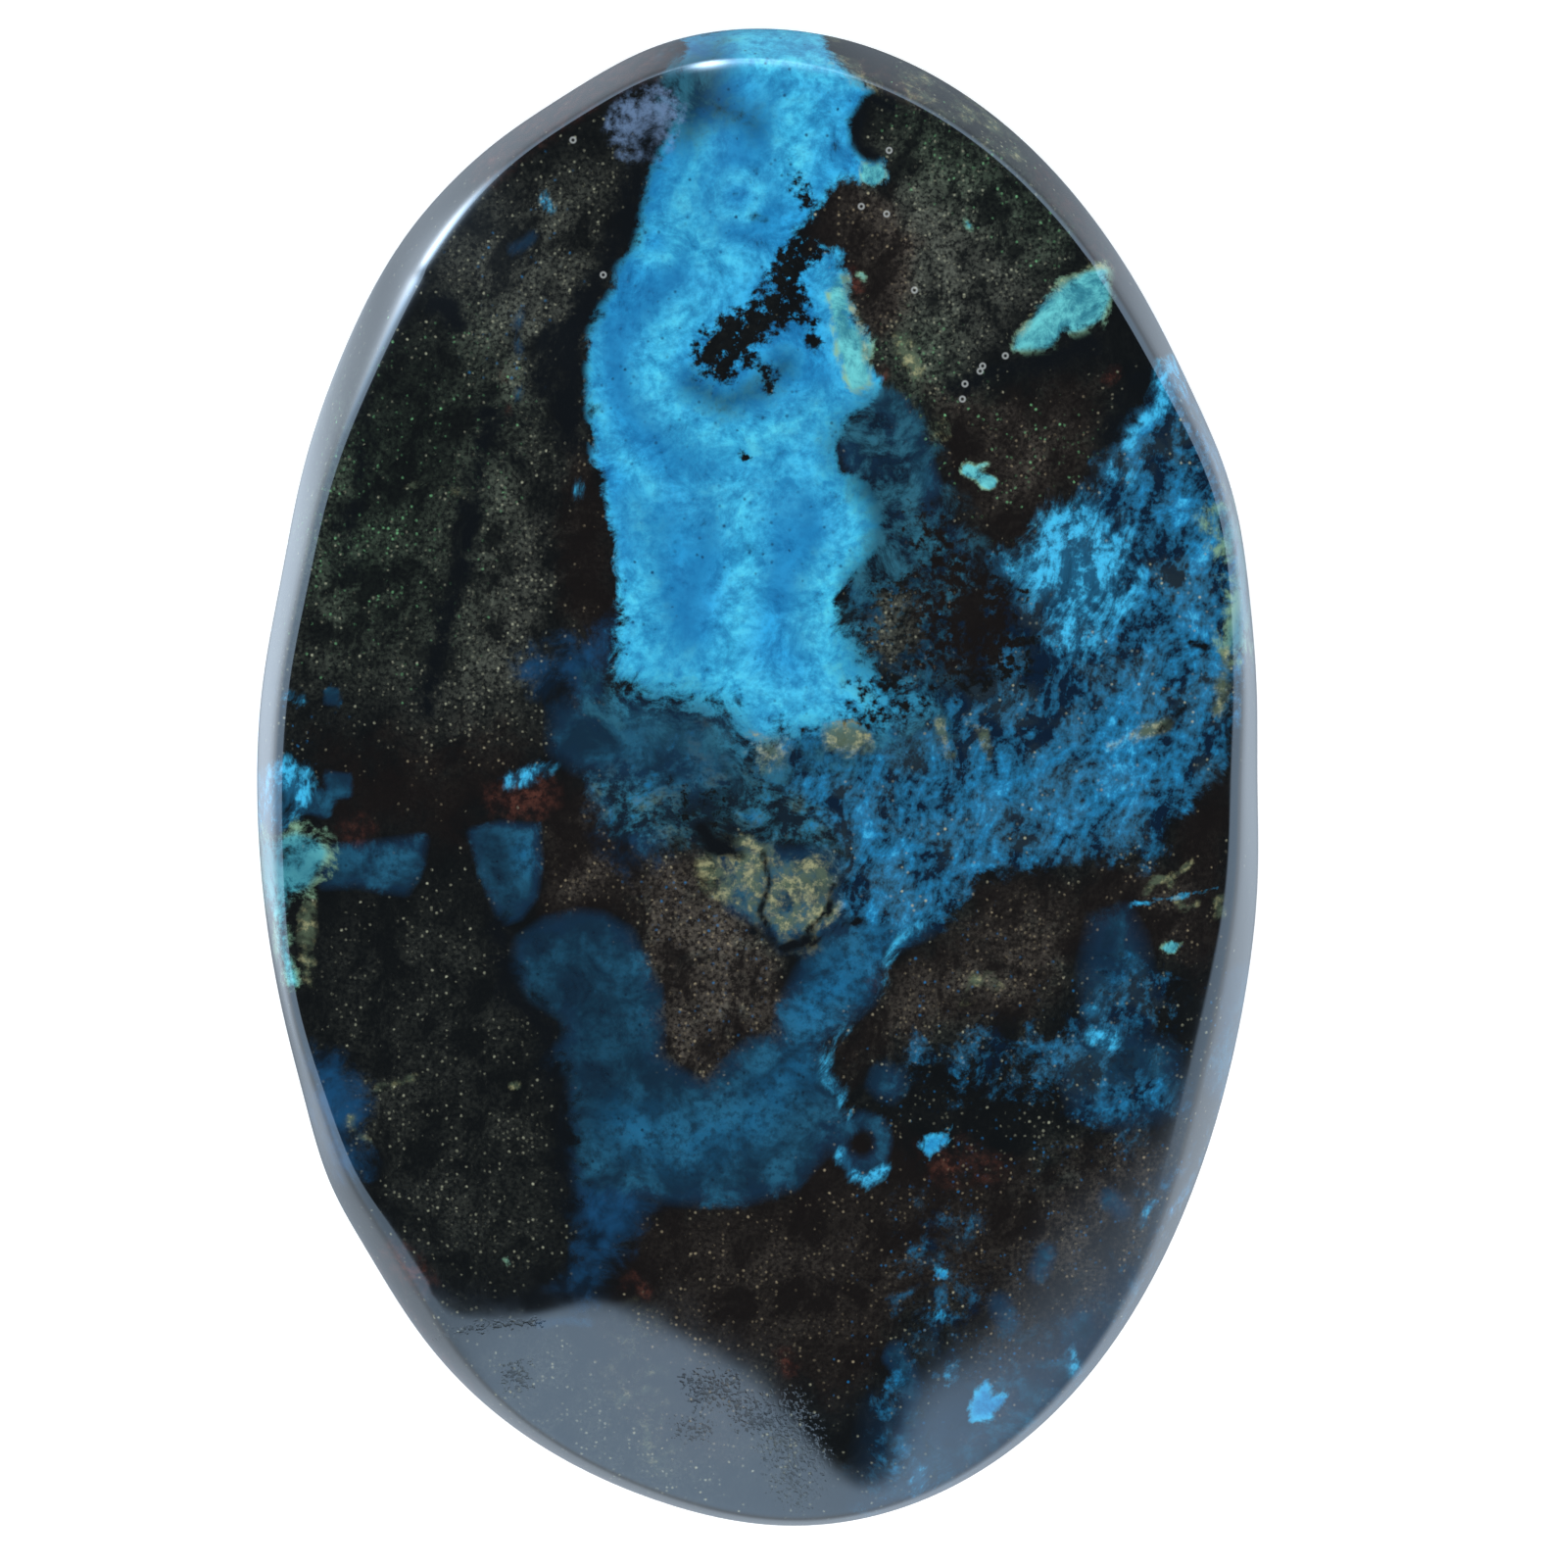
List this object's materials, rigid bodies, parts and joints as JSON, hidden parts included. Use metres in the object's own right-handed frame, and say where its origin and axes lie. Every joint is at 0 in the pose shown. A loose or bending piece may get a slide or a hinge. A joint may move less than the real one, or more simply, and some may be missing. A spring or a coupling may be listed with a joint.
{
  "type": "azurite chrysocolla cabochon",
  "caption": "Oval cabochon of polished azurite and chrysocolla in dark matrix: low glossy dome, steep bevelled rim and a flat back to lie or be set on.",
  "frame": {"origin": "centre of the flat back, under the middle of the stone's length and width", "axes": "+Z out of the flat back up through the dome, +Y along the stone's length towards the end where the bright blue band meets the rim, +X across its width"},
  "size_m": [0.04, 0.06, 0.007],
  "materials": {
    "polished_stone": "high-gloss lapidary polish over sky-blue chrysocolla, deep blue azurite and black-brown matrix with khaki-green specks"
  },
  "bodies": {
    "root": {"cabochon": "polished_stone"}
  },
  "joints": []
}
